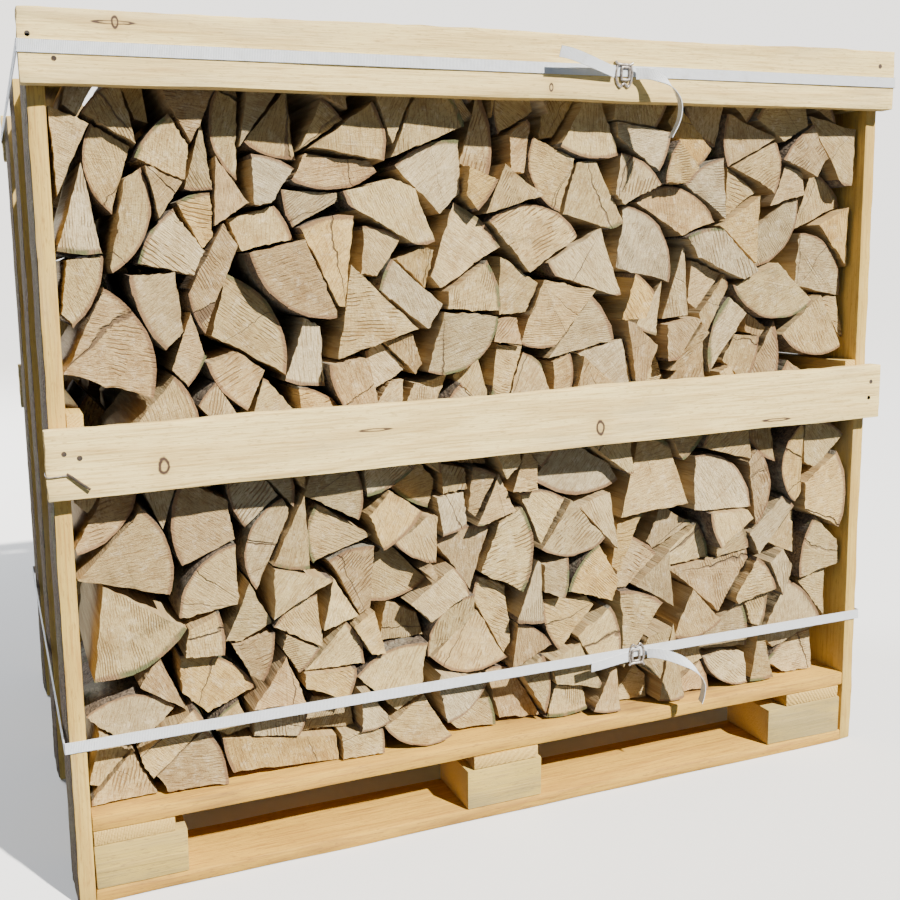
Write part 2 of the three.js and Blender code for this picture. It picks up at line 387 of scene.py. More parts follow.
# the woods in the stack, from pale to tan, the last one resinous
logTones = ((0.0, (0.65, 0.495, 0.225, 1)), (0.16, (0.56, 0.42, 0.185, 1)), (0.32, (0.52, 0.35, 0.155, 1)),
            (0.46, (0.49, 0.38, 0.19, 1)), (0.60, (0.61, 0.41, 0.13, 1)), (0.74, (0.62, 0.51, 0.30, 1)),
            (0.90, (0.54, 0.39, 0.165, 1)), (1.0, (0.36, 0.135, 0.025, 1)))


def logTone(tree):
    made = addNode(tree, "ShaderNodeValToRGB", {0: attribute(tree, "logTone")})
    stops = made.color_ramp.elements
    while len(stops) < len(logTones):
        stops.new(0.5)
    for stop, (spot, colour) in zip(stops, logTones):
        stop.position = spot
        stop.color = colour
    return made.outputs[0]


endLook = {
    "dimmest": 0.76, "brightest": 1.06, "shadow": (0.47, 0.37, 0.26, 1), "bleached": (0.90, 0.78, 0.56, 1),
    "rings": 1750.0, "ringBend": 18.0, "rays": 30.0, "rayLength": 26.0, "pores": 310.0,
    "finestSaw": 0.0030, "coarsestSaw": 0.0062,
    "streaks": 620.0, "streakLength": 60.0, "streakStrength": 0.75,
    # the first colour here is painted shade, the dark inside of a drying crack
    "shadedCrack": (0.09, 0.05, 0.025, 1), "barkRim": (0.20, 0.11, 0.05, 1), "moss": (0.115, 0.12, 0.045, 1),
    "depth": 0.0024,
}


def logEndFinish(look):
    # a sawn log end: saw lines and pepper-like pores, rings and cracks on some, a dark rim; the saw grooves
    # and cracks carry painted shade
    material, tree, shader = newMaterial("logEndGrain")
    spot = objectPlace(tree)
    heart = attribute(tree, "heartPlace", "Vector")
    number = attribute(tree, "logNumber")
    sawPlace = attribute(tree, "sawPlace")

    def chance(factor):
        return maths(tree, "FRACT", times(tree, number, factor))

    light = ramp(tree, chance(31.7), 0.0, 1.0, look["dimmest"], look["brightest"])
    grey = addNode(tree, "ShaderNodeCombineColor", {0: light, 1: light, 2: light}).outputs[0]
    tone = tinted(tree, logTone(tree), grey)
    darker = tinted(tree, tone, look["shadow"])
    pale = blendColour(tree, 0.45, tone, look["bleached"])
    parts = partsOf(tree, heart)
    angle = maths(tree, "ARCTAN2", parts["Y"], parts["X"])
    reach = lengthOf(tree, heart)
    wobble = noiseOf(tree, heart, 28.0, 3.0)
    # growth rings
    bend = times(tree, wobble, look["ringBend"])
    rings = maths(tree, "SINE", plus(tree, times(tree, reach, look["rings"]), bend))
    ringLook = ramp(tree, chance(7.3), 0.45, 1.0, 0.05, 0.40)
    colour = blendColour(tree, times(tree, ramp(tree, rings, 0.1, 1.0), ringLook), tone, darker)
    # broad weathering, paler and darker
    weather = ramp(tree, noiseOf(tree, spot, 21.0, 6.0, 0.7), 0.47, 0.68, 0.0, 0.5)
    colour = blendColour(tree, weather, colour, darker)
    bleach = ramp(tree, noiseOf(tree, spot, 70.0, 5.0, 0.75), 0.50, 0.66, 0.0, 0.5)
    colour = blendColour(tree, bleach, colour, pale)
    # rays from the heart
    rays = vectorOf(tree, times(tree, angle, look["rays"]), times(tree, reach, look["rayLength"]),
                    times(tree, number, 91.0))
    rayLook = noiseOf(tree, rays, 1.0, 3.0, 0.6)
    colour = blendColour(tree, ramp(tree, rayLook, 0.48, 0.78, 0.0, 0.38), colour, darker)
    # pores
    pepper = noiseOf(tree, spot, look["pores"], 4.0, 0.78)
    pepperLook = ramp(tree, chance(3.1), 0.1, 1.0, 0.35, 1.0)
    colour = blendColour(tree, times(tree, ramp(tree, pepper, 0.50, 0.72), pepperLook), colour, darker)
    # saw lines, each a thin groove whose colour is darkened along it as painted shade
    pitch = ramp(tree, chance(5.9), 0.0, 1.0, look["finestSaw"], look["coarsestSaw"])
    saw = placeGroup(tree, sawGroup, Along=sawPlace, Pitch=pitch, Place=heart)["Height"]
    sawLook = ramp(tree, chance(13.7), 0.30, 1.0, 0.10, 1.0)
    groove = times(tree, ramp(tree, saw, 0.25, 0.85), sawLook)
    colour = blendColour(tree, groove, colour, darker)
    # fine streaks that follow the saw cut
    sawn = vectorOf(tree, times(tree, sawPlace, look["streaks"]),
                    times(tree, parts["X"], look["streakLength"]),
                    times(tree, parts["Y"], look["streakLength"]))
    streaks = noiseOf(tree, sawn, 1.0, 4.0, 0.7)
    colour = blendColour(tree, ramp(tree, streaks, 0.46, 0.66, 0.0, look["streakStrength"]), colour, darker)
    # a few drying cracks, painted near black inside as painted shade
    bent = plus(tree, times(tree, angle, 1.5), times(tree, wobble, 0.5))
    crackPlace = vectorOf(tree, bent, times(tree, reach, 3.4), times(tree, number, 53.0))
    shown = ramp(tree, noiseOf(tree, crackPlace, 3.1, 2.0), 0.57, 0.64)
    shadedCrack = times(tree, ramp(tree, cellEdges(tree, crackPlace), 0.018, 0.005), shown)
    colour = blendColour(tree, times(tree, shadedCrack, 0.8), colour, look["shadedCrack"])
    # bark rim, green with moss on some
    edge = plus(tree, attribute(tree, "barkNear"), times(tree, minus(tree, pepper, 0.5), 0.03))
    colour = blendColour(tree, ramp(tree, edge, 0.940, 0.972, 0.0, 0.85), colour, look["barkRim"])
    tufts = ramp(tree, noiseOf(tree, spot, 34.0, 3.0), 0.42, 0.58)
    mossy = times(tree, ramp(tree, chance(9.1), 0.74, 0.80), tufts)
    colour = blendColour(tree, times(tree, ramp(tree, edge, 0.935, 0.975), mossy), colour, look["moss"])
    height = minus(tree, times(tree, pepper, 0.5), times(tree, groove, 0.55))
    height = minus(tree, height, times(tree, shadedCrack, 1.4))
    height = plus(tree, height, times(tree, rayLook, 0.35))
    height = minus(tree, height, times(tree, streaks, 0.6))
    finishSurface(tree, shader, colour, 0.88, height, look["depth"])
    return material


splitLook = {
    # painted shade: the first colour here is a grey-brown that darkens every split face like the shade
    # between logs
    "gapShade": (0.30, 0.235, 0.155, 1), "deep": (0.62, 0.50, 0.36, 1), "patch": (0.70, 0.62, 0.52, 1),
    "ridges": (7.0, 130.0, 130.0), "fibre": (22.0, 700.0, 700.0), "patches": (6.0, 30.0, 30.0),
    "depth": 0.0035,
}


def logSplitFinish(look):
    # the torn face where a log was split: long fibres and ridges along it; its colour is mixed toward a dark
    # grey-brown as painted shade for the gaps between logs
    material, tree, shader = newMaterial("logSplitFace")
    spot = grainPlace(tree, "y")
    # painted shade: the split face colour is greyed and darkened as if in the shade of the gaps
    tone = blendColour(tree, 0.4, logTone(tree), look["gapShade"])
    ridges = noiseOf(tree, stretched(tree, spot, look["ridges"]), 1.0, 5.0, 0.6)
    fibre = noiseOf(tree, stretched(tree, spot, look["fibre"]), 1.0, 3.0, 0.6)
    deep = tinted(tree, tone, look["deep"])
    colour = blendColour(tree, ramp(tree, ridges, 0.36, 0.68, 0.0, 0.75), tone, deep)
    colour = blendColour(tree, ramp(tree, fibre, 0.4, 0.75, 0.0, 0.45), colour, deep)
    patch = ramp(tree, noiseOf(tree, stretched(tree, spot, look["patches"]), 1.0, 3.0), 0.52, 0.72, 0.0, 0.6)
    colour = blendColour(tree, patch, colour, tinted(tree, tone, look["patch"]))
    finishSurface(tree, shader, colour, 0.84, plus(tree, ridges, times(tree, fibre, 0.35)), look["depth"])
    return material


logBark = barkFinish("logBark", logBarkLook)
slabBark = barkFinish("slabBark", slabBarkLook)
logEnd = logEndFinish(endLook)
logSplit = logSplitFinish(splitLook)
pineZ = sawnWood("pineUpright", "z", pinePaint)
pineY = sawnWood("pineRail", "y", pinePaint)
palletX = sawnWood("palletBoardAlong", "x", palletPaint)
palletY = sawnWood("palletBoardAcross", "y", palletPaint)
blockX = sawnWood("palletBlock", "x", blockPaint)
spruceEnd = sawnEnd("spruceEnd", sprucePaint)
pineEnd = sawnEnd("pineEnd", pinePaint)
palletEnd = sawnEnd("palletEnd", palletPaint)
print("finishes made")


# ---- sawn timber ---------------------------------------------------------

plankShape = {"segment": 0.03, "edge": 0.0018, "waver": 0.0011, "endChip": 0.0012, "endReach": 0.004}
axisOf = {"x": 0, "y": 1, "z": 2}
plankDraw = random.Random(11)


def timberBlock(name, low, high):
    # a plain block between two corners, ready to be cut and worn
    bpy.ops.mesh.primitive_cube_add(size=1, location=(low + high) / 2, scale=high - low)
    timber = bpy.context.object
    timber.name = name
    bpy.ops.object.transform_apply(location=True, rotation=False, scale=True)
    return timber


def cutAcross(timber, axis, longerThan, cuts):
    # cuts the long edges that run along one axis
    pickEdges(timber, lambda a, b: abs(a[axis] - b[axis]) > longerThan)
    bpy.ops.mesh.subdivide(number_cuts=cuts)
    bpy.ops.object.mode_set(mode="OBJECT")


def roughen(timber, amount, stretch, seed):
    # pushes each point by smooth noise, longer along the grain
    for point in timber.data.vertices:
        spot = Vector((point.co.x * stretch[0], point.co.y * stretch[1], point.co.z * stretch[2] + seed))
        point.co += noise.noise_vector(spot) * amount


def keepWithin(timber, low, high):
    for point in timber.data.vertices:
        for axis in range(3):
            point.co[axis] = min(max(point.co[axis], low[axis]), high[axis])


def finishTimber(timber, finishes, chooseFinish, smoothAngle, tone):
    for finish in finishes:
        timber.data.materials.append(finish)
    for face in timber.data.polygons:
        face.material_index = chooseFinish(face.normal)
    makeActive(timber)
    bpy.ops.object.shade_smooth_by_angle(angle=math.radians(smoothAngle))
    layer = timber.data.attributes.new("plankTone", "FLOAT", "POINT")
    layer.data.foreach_set("value", [tone] * len(timber.data.vertices))


def sawnPlank(name, node, grain, sideFinish, endFinish, slotName):
    low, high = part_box(node)
    axis = axisOf[grain]
    length = high[axis] - low[axis]
    plank = timberBlock(name, low, high)
    cutAcross(plank, axis, 0.5 * length, max(2, int(length / plankShape["segment"])))
    applyModifier(plank, "BEVEL", width=plankShape["edge"], segments=2, limit_method="ANGLE")
    stretch = [55.0, 55.0, 55.0]
    stretch[axis] = 9.0
    roughen(plank, plankShape["waver"], stretch, plankDraw.uniform(0, 50))
    for point in plank.data.vertices:
        if min(point.co[axis] - low[axis], high[axis] - point.co[axis]) < plankShape["endReach"]:
            inward = 1 if point.co[axis] < (low[axis] + high[axis]) / 2 else -1
            point.co[axis] += inward * plankShape["endChip"] * abs(noise.noise(point.co * 90))
    keepWithin(plank, low, high)
    finishTimber(plank, (sideFinish, endFinish), lambda normal: int(abs(normal[axis]) > 0.85), 32,
                 plankDraw.random())
    settle(plank, slotName, node)


def buildPallet():
    for row in ("front", "middle", "back"):
        sawnPlank("palletSkid." + row, "bottom_board_" + row, "x", palletX, palletEnd, "pallet_wood")
        for column in ("left", "centre", "right"):
            sawnPlank("palletBlock.%s.%s" % (row, column), "block_%s_%s" % (row, column), "x",
                      blockX, palletEnd, "block_wood")
    for column in ("left", "centre", "right"):
        sawnPlank("palletStringer." + column, "stringer_" + column, "y", palletY, palletEnd, "pallet_wood")
    for number in range(1, 7):
        sawnPlank("palletDeck.%d" % number, "deck_board_%d" % number, "x", palletX, palletEnd, "pallet_wood")
    for side in ("left", "right"):
        for level in ("middle", "top"):
            sawnPlank("endRail.%s.%s" % (side, level), "rail_%s_%s" % (side, level), "y",
                      pineY, pineEnd, "upright_wood")
    print("pallet and rails sawn")


buildPallet()


# ---- uprights: slabs with the bark left on -------------------------------

slab = {
    "lengthStep": 0.022, "widthCuts": 11, "round": 0.0022,
    "swell": 0.003, "furrow": 0.0022, "edgeWander": 0.0028,
}


def barkUpright(side, row):
    node = "upright_%s_%s" % (side, row)
    low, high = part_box(node)
    outward = -1 if side == "left" else 1
    middle = (low + high) / 2
    post = timberBlock("barkUpright.%s.%s" % (side, row), low, high)
    cutAcross(post, 2, 0.5, int((high.z - low.z) / slab["lengthStep"]))
    cutAcross(post, 1, 0.05, slab["widthCuts"])
    applyModifier(post, "BEVEL", width=slab["round"], segments=2, limit_method="ANGLE")
    seed = plankDraw.uniform(0, 40)
    halfWidth = (high.y - low.y) / 2
    outer = low.x if outward < 0 else high.x
    inner = high.x if outward < 0 else low.x
    for point in post.data.vertices:
        share = (point.co.y - middle.y) / halfWidth
        onBark = abs(point.co.x - outer) < 0.5 * abs(outer - inner)
        # both long edges of a slab wander, the bark side the most
        wander = noise.noise(Vector((seed, share * 3, point.co.z * 7)))
        wander += 0.5 * noise.noise(Vector((seed, 5, point.co.z * 31)))
        point.co.y += (wander - 0.6) * slab["edgeWander"] * (1.0 if onBark else 0.35) * share
        if onBark:
            drop = slab["swell"] * share * share
            ridge = noise.noise(Vector((seed, point.co.y * 95, point.co.z * 15)))
            crumb = noise.noise(Vector((seed + 9, point.co.y * 260, point.co.z * 90)))
            point.co.x -= outward * (drop + slab["furrow"] * (0.55 + 0.45 * ridge + 0.35 * crumb))
    keepWithin(post, low, high)

    def barkOrWood(normal):
        if abs(normal.z) > 0.85:
            return 1
        return 2 if normal.x * outward > 0.42 else 0

    finishTimber(post, (pineZ, pineEnd, slabBark), barkOrWood, 38, plankDraw.random())
    settle(post, "upright_wood", node)


def buildUprights():
    for side in ("left", "right"):
        for row in ("front", "middle", "back"):
            barkUpright(side, row)
    print("uprights in place")


buildUprights()


# ---- boards across the front and back ------------------------------------

board = {
    "height": 0.082, "step": 0.012, "across": 7, "edge": 0.0012, "edgeReach": 0.012,
    "waver": 0.0009, "wane": 0.0026, "torn": 0.0022,
}
boardRise = {
    "front_board_top": 0.001, "front_board_middle": 0.010,
    "back_board_top": 0.0, "back_board_middle": -0.006,
}


def crossBoard(node, finish):
    low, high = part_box(node)
    rise = boardRise[node]
    foot = low.z if rise >= 0 else low.z - rise
    top = foot + board["height"]
    plank = timberBlock("crossBoard." + node, Vector((low.x, low.y, foot)), Vector((high.x, high.y, top)))
    cutAcross(plank, 0, 0.5, int((high.x - low.x) / board["step"]))
    cutAcross(plank, 2, 0.05, board["across"])
    applyModifier(plank, "BEVEL", width=board["edge"], segments=2, limit_method="ANGLE")
    seed = plankDraw.uniform(0, 40)
    reach = board["edgeReach"]
    for point in plank.data.vertices:
        spot = point.co.copy()
        nearTop = max(0.0, (spot.z - (top - reach)) / reach)
        nearFoot = max(0.0, ((foot + reach) - spot.z) / reach)
        nearEnd = max(0.0, 1 - min(spot.x - low.x, high.x - spot.x) / reach)
        ragged = noise.noise(Vector((spot.x * 5, seed, 0)))
        ragged += 0.45 * noise.noise(Vector((spot.x * 38, seed, 2)))
        point.co.z += nearTop * board["wane"] * (ragged - 0.5)
        point.co.z += nearFoot * 0.5 * board["wane"] * (0.4 + noise.noise(Vector((spot.x * 9, seed, 7))))
        inward = 1 if spot.x < 0 else -1
        tear = abs(noise.noise(Vector((seed, spot.y * 60, spot.z * 110))))
        tear += 0.3 * abs(noise.noise(spot * 400))
        point.co.x += inward * nearEnd * board["torn"] * tear
        point.co.z += rise * (spot.x - low.x) / (high.x - low.x)
    roughen(plank, board["waver"], (7.0, 40.0, 40.0), seed)
    keepWithin(plank, low, high)
    finishTimber(plank, (finish, spruceEnd), lambda normal: int(abs(normal.x) > 0.8), 35,
                 plankDraw.random() * 0.5)
    settle(plank, "board_wood", node)


# how far a knot is squeezed along, through and up the board
roundKnot = (1.0, 0.12, 0.62)
longKnot = (0.13, 0.12, 1.5)
# each knot: how far along and up from the foot, its radius and its shape
boardKnots = {
    "frontTop": [(0.099, 1.037, 0.0028, longKnot), (0.099, 1.0375, 0.0035, roundKnot),
                 (0.642, 0.985, 0.0028, roundKnot)],
    "frontMiddle": [(0.128, 0.540, 0.0056, roundKnot), (0.719, 0.541, 0.0056, roundKnot),
                    (1.015, 0.530, 0.003, longKnot), (0.392, 0.563, 0.0025, longKnot)],
    "back": [(0.30, 0.550, 0.008, roundKnot), (0.86, 1.012, 0.0065, roundKnot)],
}


def knottySpruce(name, knotList, y):
    knots = [(fromFoot(x, y, z), radius, shape) for x, z, radius, shape in boardKnots[knotList]]
    return sawnWood(name, "x", sprucePaint, knots)


def buildBoards():
    crossBoard("front_board_top", knottySpruce("frontTopBoard", "frontTop", -0.02))
    crossBoard("front_board_middle", knottySpruce("frontMiddleBoard", "frontMiddle", -0.02))
    backFinish = knottySpruce("backBoards", "back", 0.82)
    crossBoard("back_board_top", backFinish)
    crossBoard("back_board_middle", backFinish)
    print("boards nailed on")


buildBoards()


# ---- split logs ----------------------------------------------------------

logShape = {
    "usual": 0.0046, "spread": 0.36, "least": 0.0021, "most": 0.0108, "narrow": 27, "wide": 112,
    "thinnest": 0.072, "thickest": 0.135, "slabShare": 0.14, "tipShare": 0.55, "barkOffShare": 0.28,
    "round": 44, "length": 0.246, "rim": 0.0012, "endTilt": 3.2, "taper": 0.03, "barkFrom": 0.965,
    "barkRough": 0.0022, "splitRough": 0.0036, "sawRough": 0.0012, "splinter": 0.0026,
    "slabThinnest": 0.024, "slabThickest": 0.042, "smallShare": 0.55, "smallEvery": 9,
}
pile = {
    "cell": 0.002, "pool": 2400, "shifts": 7, "full": 0.985, "ceiling": 1.0145, "railDepth": 0.0204,
    "clear": 0.0006, "voidCost": 1.3, "riseCost": 4.2, "tallCost": 0.15, "tallFrom": 0.8, "sizeGain": 6.0,
    "mostMisses": 60, "armful": 12, "growStep": 0.001, "growRounds": 16, "growCell": 0.0015,
}


def halfPlane(outline, offset, acrossX, acrossZ):
    # cuts an outline and keeps the part on the near side of the line
    kept = []
    for number, here in enumerate(outline):
        after = outline[(number + 1) % len(outline)]
        hereOver = here[0] * acrossX + here[1] * acrossZ - offset
        afterOver = after[0] * acrossX + after[1] * acrossZ - offset
        if hereOver <= 0:
            kept.append(here)
        if (hereOver < 0 < afterOver) or (afterOver < 0 < hereOver):
            share = hereOver / (hereOver - afterOver)
            kept.append((here[0] + (after[0] - here[0]) * share, here[1] + (after[1] - here[1]) * share))
    return kept


def outlineOf(section):
    steps = 48
    radius = section["radius"]
    angles = [k * 2 * math.pi / steps for k in range(steps)]
    outline = [(radius * math.cos(angle), radius * math.sin(angle)) for angle in angles]
    for offset, acrossX, acrossZ in section["cuts"]:
        outline = halfPlane(outline, offset, acrossX, acrossZ)
    return outline


def drawSection(draw, small):
    # a wedge split from a round log, many with the heart or the bark side split off too
    want = draw.lognormvariate(math.log(logShape["usual"]), logShape["spread"])
    want = min(logShape["most"], max(logShape["least"], want)) * (logShape["smallShare"] if small else 1.0)
    radius = draw.uniform(logShape["thinnest"], logShape["thickest"])
    if draw.random() < logShape["slabShare"]:
        thick = draw.uniform(logShape["slabThinnest"], logShape["slabThickest"])
        middle = draw.uniform(-0.4, 0.4) * radius
        slant = draw.uniform(-0.12, 0.12)
        reach = min(want / thick, 1.7 * radius)
        side = math.sqrt(radius ** 2 - middle ** 2)
        return {"radius": radius, "cuts": [
            [middle + thick / 2, math.sin(slant), math.cos(slant)],
            [thick / 2 - middle, 0.0, -1.0],
            [reach - side, -math.cos(slant * 3), math.sin(slant * 3)]]}
    tip = draw.uniform(0.15, 0.62) if draw.random() < logShape["tipShare"] else 0.0
    opening = 2 * want / (radius ** 2 * (1 - tip ** 2))
    opening = min(max(opening, math.radians(logShape["narrow"])), math.radians(logShape["wide"]))
    radius = math.sqrt(2 * want / (opening * (1 - tip ** 2)))
    cuts = []
    for side in (1, -1):
        facing = side * (opening / 2 + math.pi / 2) + draw.uniform(-0.16, 0.16)
        cuts.append([draw.uniform(-0.008, 0.008), math.cos(facing), math.sin(facing)])
    if tip:
        tilt = draw.uniform(-0.55, 0.55)
        cuts.append([-radius * tip, -math.cos(tilt), -math.sin(tilt)])
    if draw.random() < logShape["barkOffShare"]:
        tilt = draw.uniform(-0.45, 0.45)
        cuts.append([radius * draw.uniform(0.74, 0.90), math.cos(tilt), math.sin(tilt)])
    return {"radius": radius, "cuts": cuts}


def drawPool(draw):
    # sections in a chosen turn, with their lower and upper outlines ready for dropping
    pool = []
    for number in range(pile["pool"]):
        section = drawSection(draw, number % logShape["smallEvery"] == logShape["smallEvery"] - 1)
        outline = outlineOf(section)
        turn = draw.uniform(0, 2 * math.pi)
        across, up = math.cos(turn), math.sin(turn)
        points = np.array([(across * x - up * z, up * x + across * z) for x, z in outline])
        least = points[:, 0].min()
        count = int(math.ceil((points[:, 0].max() - least) / pile["cell"])) + 1
        spots = least + np.arange(count) * pile["cell"]
        points = np.roll(points, -int(np.argmin(points[:, 0])), axis=0)
        turnover = int(np.argmax(points[:, 0]))
        under = points[:turnover + 1]
        over = np.vstack([points[turnover:], points[:1]])[::-1]
        xs = np.array([x for x, z in outline])
        zs = np.array([z for x, z in outline])
        size = abs(np.dot(xs, np.roll(zs, -1)) - np.dot(zs, np.roll(xs, -1))) / 2
        pool.append({"section": section, "turn": turn, "least": least, "count": count, "size": size,
                     "under": np.interp(spots, under[:, 0], under[:, 1]),
                     "over": np.interp(spots, over[:, 0], over[:, 1])})
    return pool


def stackRank(draw, pool, tries, left, right, base, rails):
    # drops the best of several sections into the lowest hollow until the rank is full
    columns = int((right - left) / pile["cell"])
    height = np.full(columns, base)
    logs = []
    misses = 0
    while misses < pile["mostMisses"]:
        hollow = int(np.argmin(height))
        if height[hollow] > pile["full"]:
            break
        best = None
        for offer in draw.sample(pool, tries):
            count = offer["count"]
            under, over = offer["under"], offer["over"]
            tall = (over.max() - under.min()) / (count * pile["cell"])
            for shift in range(pile["shifts"]):
                start = hollow - int(count * (shift + 0.5) / pile["shifts"])
                start = min(max(start, 0), columns - count)
                ground = height[start:start + count]
                rest = (ground - under).max()
                if rest + over.max() > pile["ceiling"]:
                    continue
                west = left + start * pile["cell"]
                east = west + count * pile["cell"]
                atWall = west < left + pile["railDepth"] or east > right - pile["railDepth"]
                foot, peak = rest + under.min(), rest + over.max()
                if atWall and any(foot < high and peak > low for low, high in rails):
                    continue
                void = (rest + under - ground).sum() * pile["cell"]
                cost = pile["voidCost"] * void / offer["size"] - pile["sizeGain"] * offer["size"]
                cost += pile["riseCost"] * (rest + over.mean() - height[hollow])
                cost += pile["tallCost"] * max(0, tall - pile["tallFrom"])
                if best is None or cost < best[0]:
                    best = (cost, offer, start, rest, west)
        if best is None:
            around = slice(max(0, hollow - 4), hollow + 5)
            height[around] = np.maximum(height[around], height[hollow] + 0.01)
            misses += 1
            continue
        cost, offer, start, rest, west = best
        height[start:start + offer["count"]] = rest + offer["over"]
        pool.remove(offer)
        logs.append({"section": offer["section"], "turn": offer["turn"],
                     "x": west - offer["least"], "z": rest})
    return logs


def growRank(logs, left, right, base, rails):
    # each log swells side by side with its neighbours until they touch
    cell = pile["growCell"]
    across = left + (np.arange(int((right - left) / cell)) + 0.5) * cell
    up = base + (np.arange(int((pile["ceiling"] - base) / cell)) + 0.5) * cell
    nobody, aRail = -1, len(logs)
    owner = np.full((len(up), len(across)), nobody, int)
    for low, high in rails:
        level = (up > low) & (up < high)
        owner[np.ix_(level, across < left + pile["railDepth"])] = aRail
        owner[np.ix_(level, across > right - pile["railDepth"])] = aRail

    def covered(log):
        section = log["section"]
        radius = section["radius"]
        columns = slice(*np.searchsorted(across, (log["x"] - radius, log["x"] + radius)))
        levels = slice(*np.searchsorted(up, (log["z"] - radius, log["z"] + radius)))
        east = across[columns][None, :] - log["x"]
        rise = up[levels][:, None] - log["z"]
        turnX, turnZ = math.cos(log["turn"]), math.sin(log["turn"])
        outward = turnX * east + turnZ * rise
        sideways = -turnZ * east + turnX * rise
        inside = outward ** 2 + sideways ** 2 <= radius ** 2
        for offset, acrossX, acrossZ in section["cuts"]:
            inside &= outward * acrossX + sideways * acrossZ <= offset
        return (levels, columns), inside

    def withinWalls(log):
        turnX, turnZ = math.cos(log["turn"]), math.sin(log["turn"])
        for x, z in outlineOf(log["section"]):
            east = log["x"] + turnX * x - turnZ * z
            rise = log["z"] + turnZ * x + turnX * z
            if not (left < east < right and base < rise < pile["ceiling"]):
                return False
        return True

    for number, log in enumerate(logs):
        where, inside = covered(log)
        owner[where][inside] = number
    growing = [(number, side) for number, log in enumerate(logs)
               for side in range(len(log["section"]["cuts"]) + 1)]
    for attempt in range(pile["growRounds"]):
        stillGrowing = []
        for number, side in growing:
            section = logs[number]["section"]
            before = (section["radius"], [list(cut) for cut in section["cuts"]])
            if side < len(section["cuts"]):
                section["cuts"][side][0] += pile["growStep"]
            else:
                section["radius"] += pile["growStep"]
            where, inside = covered(logs[number])
            taken = owner[where]
            met = taken[inside]
            if ((met != nobody) & (met != number)).any() or not withinWalls(logs[number]):
                section["radius"], section["cuts"] = before
            else:
                taken[inside] = number
                stillGrowing.append((number, side))
        growing = stillGrowing


def finelyCutEnds(piece, ends):
    # a cut end in view gets a narrow rim and a fan of small faces from its middle
    for face in ends:
        face.select = True
    bpy.ops.object.mode_set(mode="EDIT")
    bpy.ops.mesh.inset(thickness=logShape["rim"])
    bpy.ops.mesh.poke()
    bpy.ops.object.mode_set(mode="OBJECT")
    links = {}
    for edge in piece.data.edges:
        for end in edge.vertices:
            links[end] = links.get(end, 0) + 1
    half = logShape["length"] / 2
    hubs = {tuple(point.co) for point in piece.data.vertices
            if abs(abs(point.co.y) - half) < 1e-5 and links[point.index] > 12}
    pickEdges(piece, lambda a, b: tuple(a) in hubs or tuple(b) in hubs)
    bpy.ops.mesh.subdivide(number_cuts=2)
    bpy.ops.object.mode_set(mode="OBJECT")


def splitLog(log, draw, showFront, showBack, along, fine):
    section = log["section"]
    radius = section["radius"]
    bpy.ops.mesh.primitive_cylinder_add(
        vertices=logShape["round"], radius=radius, depth=logShape["length"],
        rotation=(math.pi / 2, draw.uniform(0, 1), 0), enter_editmode=True)
    piece = bpy.context.object
    for offset, acrossX, acrossZ in section["cuts"]:
        # the axe: each split takes away everything past one plane
        bpy.ops.mesh.select_all(action="SELECT")
        bpy.ops.mesh.bisect(
            plane_co=(offset * acrossX, 0, offset * acrossZ), plane_no=(acrossX, 0, acrossZ),
            use_fill=True, clear_outer=True)
    bpy.ops.object.mode_set(mode="OBJECT")
    bpy.ops.object.transform_apply(location=False, rotation=True, scale=False)
    pickEdges(piece, lambda a, b: abs(a.y - b.y) < 0.01 and (a - b).length > radius * 0.17)
    bpy.ops.mesh.subdivide(number_cuts=fine)
    pickEdges(piece, lambda a, b: abs(a.y - b.y) > 0.1)
    bpy.ops.mesh.subdivide(number_cuts=along)
    bpy.ops.mesh.select_mode(type="FACE")
    bpy.ops.mesh.select_all(action="DESELECT")
    bpy.ops.object.mode_set(mode="OBJECT")
    shownEnds = [face for face in piece.data.polygons
                 if (face.normal.y < -0.9 and showFront) or (face.normal.y > 0.9 and showBack)]
    if shownEnds:
        finelyCutEnds(piece, shownEnds)
    return piece


